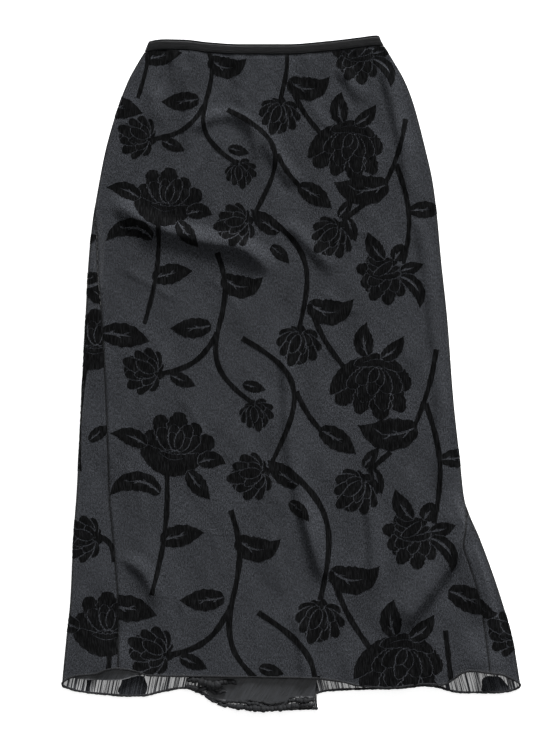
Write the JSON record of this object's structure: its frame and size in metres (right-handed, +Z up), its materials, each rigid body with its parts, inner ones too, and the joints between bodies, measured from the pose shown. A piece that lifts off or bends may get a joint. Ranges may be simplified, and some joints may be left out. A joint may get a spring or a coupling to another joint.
{
  "type": "midi skirt",
  "caption": "Long flared skirt of crinkled sheer cloth with a velvet rose pattern, lined, with a narrow satin waistband, laid flat with its front up.",
  "frame": {"origin": "on the surface that the skirt lies on, under the middle of its box", "axes": "+X across the skirt to the right as seen from above with the front up, +Y from the hem to the waist, +Z up from the surface"},
  "size_m": [0.6114, 0.8964, 0.0211],
  "materials": {
    "chiffon": "matt crinkled chiffon in charcoal with near-black velvet roses",
    "lining": "smooth charcoal lining with a soft sheen",
    "band": "near-black satin"
  },
  "bodies": {
    "root": {"front_panel": "chiffon", "back_panel_left": "chiffon", "back_panel_right": "chiffon", "front_lining": "lining", "back_lining": "lining", "waistband": "band"}
  },
  "joints": []
}
